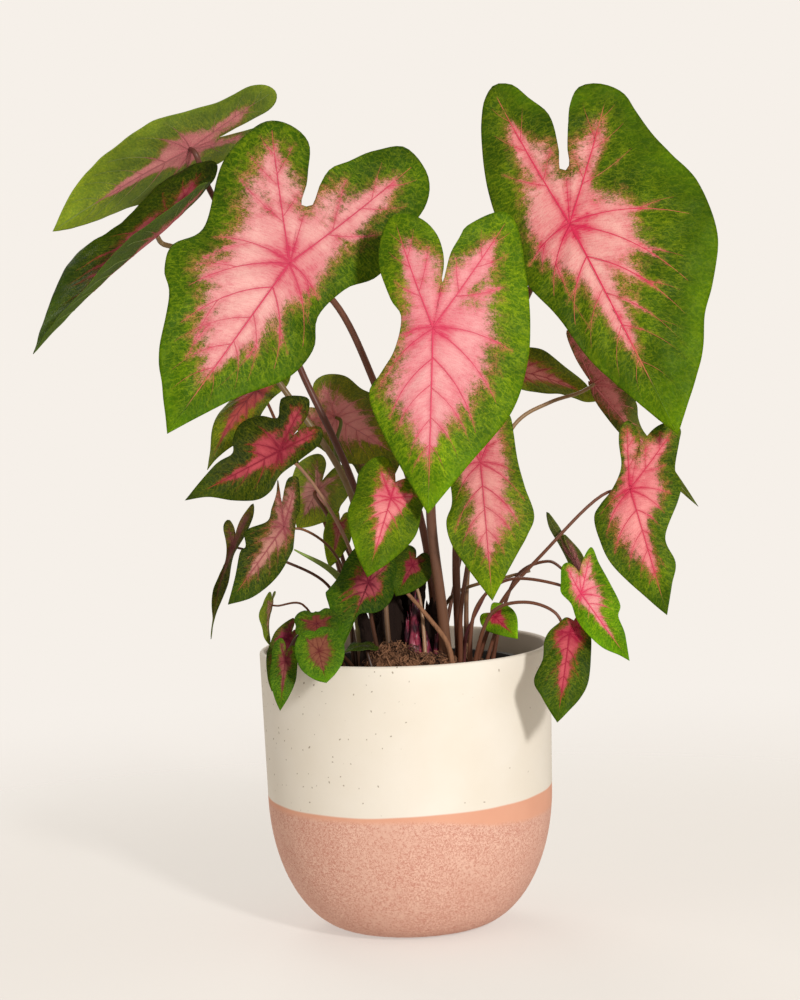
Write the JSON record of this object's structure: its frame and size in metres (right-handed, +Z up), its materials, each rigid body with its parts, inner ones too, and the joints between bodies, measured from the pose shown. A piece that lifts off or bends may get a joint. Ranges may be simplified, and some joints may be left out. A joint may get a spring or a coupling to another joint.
{
  "type": "potted caladium",
  "caption": "Leafy caladium with heart-shaped two-tone leaves on thin stalks, standing in a nursery pot inside a round-bottomed planter with a flat foot.",
  "frame": {"origin": "centre of the planter's flat foot, on the surface it stands on", "axes": "+Z up; -Y towards the side that most leaves face; +X to that side's right"},
  "size_m": [0.5435, 0.2758, 0.6812],
  "materials": {
    "planter": "matte",
    "nursery": "satin",
    "soil": "rough",
    "tuber": "fibrous",
    "sheath": "papery",
    "stem": "satin",
    "leaf": "satin"
  },
  "bodies": {
    "root": {"planter": "planter", "nursery_pot": "nursery", "potting_soil": "soil", "tuber": "tuber", "pink_sheath": "sheath", "shoot_spike": "stem", "bare_petiole": "stem", "rolled_leaf": "leaf", "leaf_01_blade": "leaf", "leaf_01_petiole": "stem", "leaf_02_blade": "leaf", "leaf_02_petiole": "stem", "leaf_03_blade": "leaf", "leaf_03_petiole": "stem", "leaf_04_blade": "leaf", "leaf_04_petiole": "stem", "leaf_05_blade": "leaf", "leaf_05_petiole": "stem", "leaf_06_blade": "leaf", "leaf_06_petiole": "stem", "leaf_07_blade": "leaf", "leaf_07_petiole": "stem", "leaf_08_blade": "leaf", "leaf_08_petiole": "stem", "leaf_09_blade": "leaf", "leaf_09_petiole": "stem", "leaf_10_blade": "leaf", "leaf_10_petiole": "stem", "leaf_11_blade": "leaf", "leaf_11_petiole": "stem", "leaf_12_blade": "leaf", "leaf_12_petiole": "stem", "leaf_13_blade": "leaf", "leaf_13_petiole": "stem", "leaf_14_blade": "leaf", "leaf_14_petiole": "stem", "leaf_15_blade": "leaf", "leaf_15_petiole": "stem", "leaf_16_blade": "leaf", "leaf_16_petiole": "stem", "leaf_17_blade": "leaf", "leaf_17_petiole": "stem", "leaf_18": "leaf", "leaf_19_blade": "leaf", "leaf_19_petiole": "stem", "leaf_20": "leaf", "leaf_21": "leaf", "leaf_22": "leaf", "leaf_23": "leaf", "leaf_24": "leaf", "leaf_25_blade": "leaf", "leaf_25_petiole": "stem", "leaf_26_blade": "leaf", "leaf_26_petiole": "stem", "leaf_27_blade": "leaf", "leaf_27_petiole": "stem", "leaf_28_blade": "leaf", "leaf_28_petiole": "stem", "leaf_29": "leaf", "leaf_30": "leaf"}
  },
  "joints": []
}
